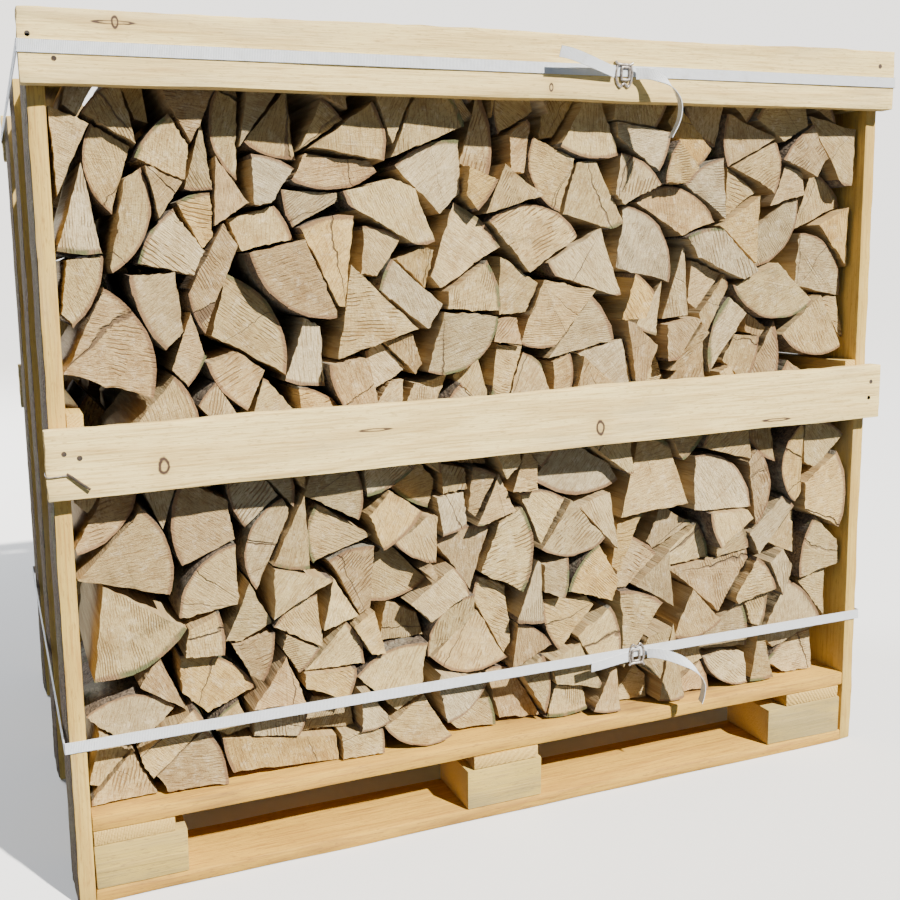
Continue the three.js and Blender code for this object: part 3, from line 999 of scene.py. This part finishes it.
def finishLog(piece, log, draw, front, number):
    # ends, split faces and bark get their own finish, then the log is laid in its place
    section = log["section"]
    radius = section["radius"]
    mesh = piece.data
    for finish in (logEnd, logSplit, logBark):
        mesh.materials.append(finish)
    for face in mesh.polygons:
        reach = math.hypot(face.center.x, face.center.z)
        onSide = 2 if reach > logShape["barkFrom"] * radius else 1
        face.material_index = 0 if abs(face.normal.y) > 0.8 else onSide
    count = len(mesh.vertices)
    spots = np.empty(count * 3)
    mesh.vertices.foreach_get("co", spots)
    spots = spots.reshape(-1, 3)
    reach = np.hypot(spots[:, 0], spots[:, 2])
    heart = np.stack([spots[:, 0], spots[:, 2], np.full(count, number * 1.7)], axis=1)
    sawTurn = draw.uniform(0, math.pi)
    values = {
        "barkNear": reach / radius,
        "logTone": np.full(count, log["tone"]),
        "logNumber": np.full(count, draw.random()),
        "sawPlace": spots[:, 0] * math.cos(sawTurn) + spots[:, 2] * math.sin(sawTurn),
    }
    for name, numbers in values.items():
        mesh.attributes.new(name, "FLOAT", "POINT").data.foreach_set("value", numbers)
    mesh.attributes.new("heartPlace", "FLOAT_VECTOR", "POINT").data.foreach_set("vector", heart.ravel())
    outline = outlineOf(section)
    centre = Vector((sum(x for x, z in outline), 0, sum(z for x, z in outline))) / len(outline)
    half = logShape["length"] / 2
    seed = draw.uniform(0, 90)
    edgeShare = [0.0] * count
    for edge in mesh.edges:
        first, second = edge.vertices
        if abs(spots[first][1] - spots[second][1]) > 0.01:
            edgeShare[first] = edgeShare[second] = 1.0
    leanX = math.tan(math.radians(draw.uniform(-1, 1) * logShape["endTilt"]))
    leanZ = math.tan(math.radians(draw.uniform(-1, 1) * logShape["endTilt"]))
    for point in mesh.vertices:
        spot = point.co.copy()
        inward = Vector((centre.x - spot.x, 0, centre.z - spot.z))
        depth = inward.length
        atEnd = abs(spot.y) > half - 1e-4
        if depth > 1e-6:
            inward /= depth
        onBark = math.hypot(spot.x, spot.z) > 0.97 * radius
        long = noise.noise(Vector((spot.x * 34, spot.y * 5 + seed, spot.z * 34)))
        fineNoise = noise.noise(Vector((spot.x * 150, spot.y * 22 + seed, spot.z * 150)))
        amount = logShape["barkRough"] if onBark else logShape["splitRough"]
        push = amount * (0.35 + 0.75 * long + 0.3 * fineNoise)
        point.co += inward * push * min(1.0, depth / (0.3 * radius))
        taper = logShape["taper"] * abs(spot.y + half) / (2 * half) * log["thinning"]
        point.co += inward * depth * taper
        if atEnd:
            point.co.y += leanX * spot.x + leanZ * spot.z
            point.co.y += logShape["sawRough"] * noise.noise(Vector((spot.x * 60, seed, spot.z * 60)))
            # splinters leave the outline of a cut end ragged
            splinter = noise.noise(Vector((spot.x * 230, seed, spot.z * 230)))
            point.co += inward * logShape["splinter"] * (0.5 + 1.1 * splinter) * edgeShare[point.index]
    turn = Matrix.Rotation(-log["turn"], 4, "Y")
    move = Matrix.Translation(Vector((log["x"], front + half, log["z"])))
    mesh.transform(move @ turn)
    makeActive(piece)
    bpy.ops.object.shade_smooth_by_angle(angle=math.radians(34))


rankLook = {
    "front": {"seed": 5, "tries": 110, "showFront": True, "showBack": False, "along": 5, "fine": 12},
    "middle": {"seed": 21, "tries": 30, "showFront": False, "showBack": False, "along": 3, "fine": 2},
    "back": {"seed": 34, "tries": 70, "showFront": False, "showBack": True, "along": 5, "fine": 12},
}


# the one resinous orange-brown log, as the first one laid near this place
resinLog = {"x": footX + 1.005, "z": 0.682, "reach": 0.05}
setBackLook = {"usual": 0.009, "spread": 0.012, "bottomLayer": 0.06, "bottomExtra": 0.010, "most": 0.036}


def buildRank(rank, pool):
    look = rankLook[rank]
    draw = random.Random(look["seed"])
    node = "logs_%s_rank" % rank
    low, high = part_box(node)
    left = low.x + pile["clear"]
    right = high.x - pile["clear"]
    base = deckTop + 2 * pile["clear"]
    rails = []
    for level in ("middle", "top"):
        railLow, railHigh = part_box("rail_left_" + level)
        rails.append((railLow.z - 0.001, railHigh.z + 0.001))
    logs = stackRank(draw, pool, look["tries"], left, right, base, rails)
    growRank(logs, left, right, base, rails)
    pieces = []
    armfuls = []
    resinLaid = False
    for number, log in enumerate(logs):
        log["tone"] = draw.random() * 0.9
        near = max(abs(log["x"] - resinLog["x"]), abs(log["z"] - resinLog["z"])) < resinLog["reach"]
        if rank == "front" and near and not resinLaid:
            log["tone"] = 1.0
            resinLaid = True
        log["thinning"] = 1 if rank != "back" else -1
        setBack = abs(draw.gauss(setBackLook["usual"], setBackLook["spread"]))
        if log["z"] < base + setBackLook["bottomLayer"]:
            setBack += setBackLook["bottomExtra"]
        setBack = min(setBack, setBackLook["most"]) + 0.001
        front = low.y + setBack if rank != "back" else high.y - setBack - logShape["length"]
        piece = splitLog(log, draw, look["showFront"], look["showBack"], look["along"], look["fine"])
        finishLog(piece, log, draw, front, number)
        pieces.append(piece)
        if len(pieces) == pile["armful"] or number == len(logs) - 1:
            armfuls.append(joinPieces("armful", pieces))
            pieces = []
    half = len(armfuls) // 2
    lower = joinPieces("splitLogs.%s.lower" % rank, armfuls[:half])
    upper = joinPieces("splitLogs.%s.upper" % rank, armfuls[half:])
    settle(lower, "firewood", node)
    settle(upper, "firewood", node)
    print("%s rank stacked from %d logs" % (rank, len(logs)))


def buildLogs():
    pool = drawPool(random.Random(3))
    for rank in ("front", "middle", "back"):
        buildRank(rank, pool)


buildLogs()


# ---- straps, buckles and nails -------------------------------------------

strapShape = {
    "width": 0.014, "thick": 0.0009, "across": 4, "step": 0.02, "corner": 0.0014, "cornerSteps": 4,
    "threadPitch": 0.0011, "pickPitch": 0.0019,
}


def strapFinish():
    material, tree, shader = newMaterial("wovenStrap")
    parts = partsOf(tree, addNode(tree, "ShaderNodeTexCoord").outputs["UV"])
    threads = maths(tree, "SINE", times(tree, parts["Y"], 2 * math.pi / strapShape["threadPitch"]))
    picks = maths(tree, "SINE", times(tree, parts["X"], 2 * math.pi / strapShape["pickPitch"]))
    weave = plus(tree, threads, times(tree, picks, 0.6))
    grime = noiseOf(tree, objectPlace(tree), 60.0, 4.0, 0.6)
    colour = blendColour(tree, ramp(tree, weave, -1.2, 0.4), (0.78, 0.83, 0.88, 1), (0.92, 0.95, 0.98, 1))
    colour = blendColour(tree, ramp(tree, grime, 0.52, 0.75, 0.0, 0.3), colour, (0.62, 0.60, 0.54, 1))
    finishSurface(tree, shader, colour, 0.42, weave, 0.0003)
    return material


def wireFinish():
    material, tree, shader = newMaterial("galvanisedWire")
    spot = objectPlace(tree)
    dull = noiseOf(tree, spot, 320.0, 4.0, 0.65)
    colour = blendColour(tree, ramp(tree, dull, 0.35, 0.7), (0.36, 0.33, 0.30, 1), (0.10, 0.075, 0.06, 1))
    shader.inputs["Metallic"].default_value = 0.75
    finishSurface(tree, shader, colour, ramp(tree, dull, 0.3, 0.7, 0.34, 0.62), dull, 0.0004)
    return material


def nailFinish():
    material, tree, shader = newMaterial("nailSteel")
    spot = objectPlace(tree)
    rust = noiseOf(tree, spot, 260.0, 4.0, 0.65)
    colour = blendColour(tree, ramp(tree, rust, 0.4, 0.66), (0.022, 0.016, 0.011, 1), (0.055, 0.03, 0.015, 1))
    finishSurface(tree, shader, colour, 0.75, rust, 0.0004)
    return material


strapWhite = strapFinish()
wireGrey = wireFinish()
nailDark = nailFinish()


def ribbon(name, route, crossings, node):
    # a flat strip laid along a route, its width lying along the matching crossing
    stations = len(route)
    across = strapShape["across"]
    bpy.ops.mesh.primitive_grid_add(x_subdivisions=stations - 1, y_subdivisions=across, size=1)
    strip = bpy.context.object
    strip.name = name
    travelled = [0.0]
    for before, after in zip(route, route[1:]):
        travelled.append(travelled[-1] + (after - before).length)
    mesh = strip.data
    sheet = mesh.uv_layers.active.data
    for loop in mesh.loops:
        station = round(sheet[loop.index].uv.x * (stations - 1))
        aside = (sheet[loop.index].uv.y - 0.5) * strapShape["width"]
        mesh.vertices[loop.vertex_index].co = route[station] + crossings[station] * aside
        sheet[loop.index].uv = (travelled[station], aside)
    bpy.ops.object.mode_set(mode="EDIT")
    bpy.ops.mesh.select_all(action="SELECT")
    bpy.ops.mesh.remove_doubles(threshold=0.00005)
    bpy.ops.mesh.normals_make_consistent(inside=False)
    bpy.ops.object.mode_set(mode="OBJECT")
    applyModifier(strip, "SOLIDIFY", thickness=strapShape["thick"], offset=0.0)
    strip.data.materials.append(strapWhite)
    bpy.ops.object.shade_smooth_by_angle(angle=math.radians(40))
    settle(strip, "strapping", node)


def strapLoop(name, node):
    # a taut loop round the crate with tight corners
    low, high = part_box(node)
    half = strapShape["thick"] / 2
    level = (low.z + high.z) / 2
    west, east = low.x + half, high.x - half
    south, north = low.y + half, high.y - half
    bend = strapShape["corner"]
    corners = [(east - bend, south + bend, -90), (east - bend, north - bend, 0),
               (west + bend, north - bend, 90), (west + bend, south + bend, 180)]
    bends = []
    for x, y, start in corners:
        for step in range(strapShape["cornerSteps"] + 1):
            angle = math.radians(start + 90 * step / strapShape["cornerSteps"])
            bends.append(Vector((x + bend * math.cos(angle), y + bend * math.sin(angle), level)))
    route = []
    for number, here in enumerate(bends):
        after = bends[(number + 1) % len(bends)]
        pieces = max(1, int((after - here).length / strapShape["step"]))
        route += [here.lerp(after, step / pieces) for step in range(pieces)]
    route.append(route[0].copy())
    ribbon(name, route, [Vector((0, 0, 1))] * len(route), node)


def smoothRoute(points, perSpan):
    # a curve through every point
    route = []
    for number in range(len(points) - 1):
        before = points[max(0, number - 1)]
        here, after = points[number], points[number + 1]
        beyond = points[min(len(points) - 1, number + 2)]
        for step in range(perSpan):
            t = step / perSpan
            bow = (2 * before - 5 * here + 4 * after - beyond) * t * t
            twist = (3 * here - before - 3 * after + beyond) * t ** 3
            route.append(0.5 * ((2 * here) + (after - before) * t + bow + twist))
    route.append(points[-1].copy())
    return route


def strapTail(name, node, points, startAcross, endAcross):
    # a loose end: it leaves the buckle flat and twists as it falls
    route = smoothRoute([fromFoot(*point) for point in points], 8)
    crossings = []
    for number in range(len(route)):
        along = (route[min(number + 1, len(route) - 1)] - route[max(number - 1, 0)]).normalized()
        share = min(1.0, max(0.0, (number / (len(route) - 1) - 0.1) / 0.65))
        share = share * share * (3 - 2 * share)
        across = Vector(startAcross).lerp(Vector(endAcross), share)
        crossings.append((across - along * across.dot(along)).normalized())
    ribbon(name, route, crossings, node)


def bentWire(name, points, radius, closed=False):
    # wire bent through the given places
    curve = bpy.data.curves.new(name, "CURVE")
    curve.dimensions = "3D"
    curve.bevel_depth = radius
    curve.bevel_resolution = 3
    curve.resolution_u = 6
    curve.use_fill_caps = True
    spline = curve.splines.new("NURBS")
    spline.points.add(len(points) - 1)
    for point, (x, y, z) in zip(spline.points, points):
        point.co = (x, y, z, 1)
    spline.order_u = 3
    spline.use_cyclic_u = closed
    spline.use_endpoint_u = not closed
    wire = bpy.data.objects.new(name, curve)
    bpy.context.scene.collection.objects.link(wire)
    makeActive(wire)
    bpy.ops.object.convert(target="MESH")
    return bpy.context.object


# the buckle's wires in millimetres from its middle: across, back and up
buckleShape = {
    "wire": 0.0018, "setBack": 0.0008,
    "loop": [(-8, 0, 13), (0, 0, 13.2), (8, 0, 12.8), (10.6, 0, 11), (12, 0, 3), (11.2, 0, -7),
             (8.5, 0.24, -13), (5.5, 0.24, -15.6), (2.5, 0, -12.5), (0, 0, -11.2), (-3, 0, -12.5),
             (-5.5, 0.24, -16), (-9, 0.24, -13), (-12, 0, -7), (-12.6, 0, 3), (-10.6, 0, 11.4)],
    "window": [(-4.5, -0.96, 6), (-4.2, -0.96, 9), (-1, -0.96, 9.3), (4, -0.96, 9.2), (7.4, -0.96, 8.8),
               (7.6, -0.96, 5), (7.4, -0.96, -3), (7.2, -0.96, -6.2), (4, -0.96, -6.5), (-1, -0.96, -6.7),
               (-4.4, -0.96, -6.4), (-4.6, -0.96, -3)],
    "bar": [(-13, -0.48, 17.2), (-11.4, -0.84, 14.2), (-9.5, -1.08, 13.1), (-4, -1.2, 12.6), (4, -1.2, 12.2),
            (9.5, -1.08, 12.5), (12.8, -0.72, 14.8)],
}


def buildBuckle(name, node, turned):
    # wire bent into a frame, a window that the strap threads through and a bar with hooked ends
    low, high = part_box(node)
    centre = (low + high) / 2 + Vector((0, buckleShape["setBack"], 0))
    side = -1 if turned else 1
    parts = []
    for part, closed in (("loop", True), ("window", True), ("bar", False)):
        places = [centre + Vector((side * x, y, side * z)) / 1000 for x, y, z in buckleShape[part]]
        parts.append(bentWire(name + "." + part, places, buckleShape["wire"], closed))
    buckle = joinPieces(name, parts)
    onlyFinish(buckle, wireGrey)
    makeActive(buckle)
    bpy.ops.object.shade_smooth()
    settle(buckle, "buckle_wire", node)


nailShape = {"head": 0.0034, "thick": 0.0012, "sides": 14, "edge": 0.0004, "proud": 0.0006}
# nail heads, along from the foot and up
frontNails = [(0.006, 1.021), (0.032, 0.9965), (1.179, 1.031), (1.181, 1.007),
              (0.016, 0.564), (0.033, 0.558), (1.188, 0.575), (1.185, 0.551)]
backNails = [(0.010, 1.026), (0.030, 0.992), (1.176, 1.024), (1.190, 0.990),
             (0.012, 0.568), (0.030, 0.546), (1.180, 0.566), (1.190, 0.540)]
# a nail that missed the wood, bent over onto the board, and a twist of wire round it
bentNail = [(0.0175, -0.0215, 0.5415), (0.022, -0.0225, 0.5385), (0.032, -0.0232, 0.5300),
            (0.0425, -0.0240, 0.5215)]
wireTwist = [(-0.0048, 0.004, 0.5400), (-0.0056, -0.008, 0.5402), (-0.0055, -0.0205, 0.5396),
             (-0.002, -0.0218, 0.5386), (0.010, -0.0216, 0.5392), (0.019, -0.0218, 0.5398)]


def nailHead(spot, facing):
    bpy.ops.mesh.primitive_cylinder_add(
        vertices=nailShape["sides"], radius=nailShape["head"], depth=nailShape["thick"])
    head = bpy.context.object
    applyModifier(head, "BEVEL", width=nailShape["edge"], segments=2, limit_method="ANGLE")
    head.rotation_euler = Vector(facing).to_track_quat("Z", "Y").to_euler()
    head.location = spot
    return head


def looseWire(name, points, radius, finish):
    wire = bentWire(name, [fromFoot(*point) for point in points], radius)
    wire.data.materials.append(finish)
    bpy.ops.object.shade_smooth()
    settle(wire, "buckle_wire")


def buildNails():
    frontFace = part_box("front_board_top")[0].y + nailShape["proud"]
    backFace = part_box("back_board_top")[1].y - nailShape["proud"]
    heads = [nailHead((footX + x, frontFace, z), (0, -1, 0)) for x, z in frontNails]
    heads += [nailHead((footX + x, backFace, z), (0, 1, 0)) for x, z in backNails]
    nails = joinPieces("boardNails", heads)
    onlyFinish(nails, nailDark)
    settle(nails, "buckle_wire")
    looseWire("bentNail", bentNail, 0.0015, nailDark)
    looseWire("boardWire", wireTwist, 0.0007, wireGrey)


hangingDown = (0.25, 0.96, 0.1)
# each loose end: its route from the buckle, and which way its width lies at the tip
looseEnds = {
    "upper.left": ([(0.733, -0.0244, 1.006), (0.710, -0.029, 1.012), (0.683, -0.035, 1.0186),
                    (0.659, -0.040, 1.0235), (0.642, -0.042, 1.0255)], (-0.1, -0.3, 0.95)),
    "upper.right": ([(0.765, -0.0244, 1.005), (0.774, -0.029, 1.005), (0.785, -0.037, 1.002),
                     (0.797, -0.045, 0.993), (0.808, -0.050, 0.980), (0.815, -0.0508, 0.964),
                     (0.814, -0.049, 0.944), (0.804, -0.046, 0.922)], hangingDown),
    "lower.left": ([(0.778, -0.0046, 0.2015), (0.765, -0.006, 0.201), (0.751, -0.0075, 0.200),
                    (0.732, -0.009, 0.1985), (0.714, -0.010, 0.1975)], (0, -0.12, 1)),
    "lower.right": ([(0.810, -0.0048, 0.202), (0.821, -0.011, 0.2025), (0.839, -0.021, 0.1985),
                     (0.857, -0.031, 0.190), (0.872, -0.038, 0.177), (0.881, -0.040, 0.161),
                     (0.8825, -0.038, 0.144), (0.880, -0.036, 0.129)], hangingDown),
}


def buildStraps():
    strapLoop("wovenStrap.upper", "strap_upper")
    strapLoop("wovenStrap.lower", "strap_lower")
    for spot, (route, tipAcross) in looseEnds.items():
        strapTail("strapEnd." + spot, "strap_tail_" + spot.replace(".", "_"), route, (0, 0, 1), tipAcross)
    buildBuckle("wireBuckle.upper", "buckle_upper", False)
    buildBuckle("wireBuckle.lower", "buckle_lower", True)
    buildNails()
    print("straps, buckles and nails fitted")


buildStraps()


# ---- floor, light and camera ---------------------------------------------

studio = {
    "floorSize": 40.0, "floor": (0.86, 0.86, 0.86, 1), "sky": (0.62, 0.78, 1.0, 1), "skyStrength": 0.26,
    "backdrop": (1.0, 0.965, 0.915, 1), "backdropStrength": 2.5,
    "sunPlace": (2.6, -5.0, 5.6), "sunWidth": 1.4, "sunStrength": 13.6, "sunColour": (1.0, 0.955, 0.88),
    "fillPlace": (-4.2, -3.0, 2.2), "fillSize": 3.0, "fillPower": 10.0,
    "backPlace": (-2.4, 4.0, 3.6), "backSize": 2.0, "backPower": 330.0,
}
# the crate stands off the middle of the view, so the lens is shifted
cameraView = {
    "place": (-0.6598, -1.6019, 0.7695), "azimuth": -19.3545, "elevation": 8.0312, "roll": -1.4352,
    "lens": 41.5567, "shiftX": 0.1088, "shiftY": -0.0442,
}


def aimedLamp(name, kind, place, power, colour):
    bpy.ops.object.light_add(type=kind, location=place)
    lamp = bpy.context.object
    lamp.name = name
    lamp.data.energy = power
    lamp.data.color = colour
    lamp.rotation_euler = (Vector((0, 0, 0.5)) - lamp.location).to_track_quat("-Z", "Y").to_euler()
    return lamp


def buildStudio():
    deselectAll()
    bpy.ops.mesh.primitive_plane_add(size=studio["floorSize"], location=(0, 0, -0.0005))
    floor = bpy.context.object
    floor.name = "studioFloor"
    material, tree, shader = newMaterial("studioFloor")
    shader.inputs["Base Color"].default_value = studio["floor"]
    shader.inputs["Roughness"].default_value = 0.9
    floor.data.materials.append(material)
    floor.visible_diffuse = False  # the pale floor throws no light back up, so shadows stay deep
    world = bpy.data.worlds.new("studioSky")
    world.use_nodes = True
    # the backdrop is pale to look at but adds little light, so the lamps model the shapes
    tree = world.node_tree
    sky = tree.nodes["Background"]
    sky.inputs["Color"].default_value = studio["sky"]
    sky.inputs["Strength"].default_value = studio["skyStrength"]
    paleLook = {"Color": studio["backdrop"], "Strength": studio["backdropStrength"]}
    backdrop = addNode(tree, "ShaderNodeBackground", paleLook)
    seen = addNode(tree, "ShaderNodeLightPath").outputs["Is Camera Ray"]
    mixed = addNode(tree, "ShaderNodeMixShader", {0: seen, 1: sky.outputs[0], 2: backdrop.outputs[0]})
    tree.links.new(mixed.outputs[0], tree.nodes["World Output"].inputs["Surface"])
    bpy.context.scene.world = world
    sun = aimedLamp("sunLamp", "SUN", studio["sunPlace"], studio["sunStrength"], studio["sunColour"])
    sun.data.angle = math.radians(studio["sunWidth"])
    fill = aimedLamp("fillLamp", "AREA", studio["fillPlace"], studio["fillPower"], (1, 1, 1))
    fill.data.size = studio["fillSize"]
    back = aimedLamp("backLamp", "AREA", studio["backPlace"], studio["backPower"], (1, 1, 1))
    back.data.size = studio["backSize"]
    bpy.ops.object.camera_add(location=cameraView["place"])
    camera = bpy.context.object
    turn = Matrix.Rotation(math.radians(cameraView["azimuth"]), 4, "Z")
    tilt = Matrix.Rotation(math.radians(90 - cameraView["elevation"]), 4, "X")
    roll = Matrix.Rotation(math.radians(cameraView["roll"]), 4, "Z")
    camera.rotation_euler = (turn @ tilt @ roll).to_euler()
    camera.data.lens = cameraView["lens"]
    camera.data.shift_x = cameraView["shiftX"]
    camera.data.shift_y = cameraView["shiftY"]
    camera.data.clip_start = 0.01
    bpy.context.scene.camera = camera
    print("studio set")


buildStudio()
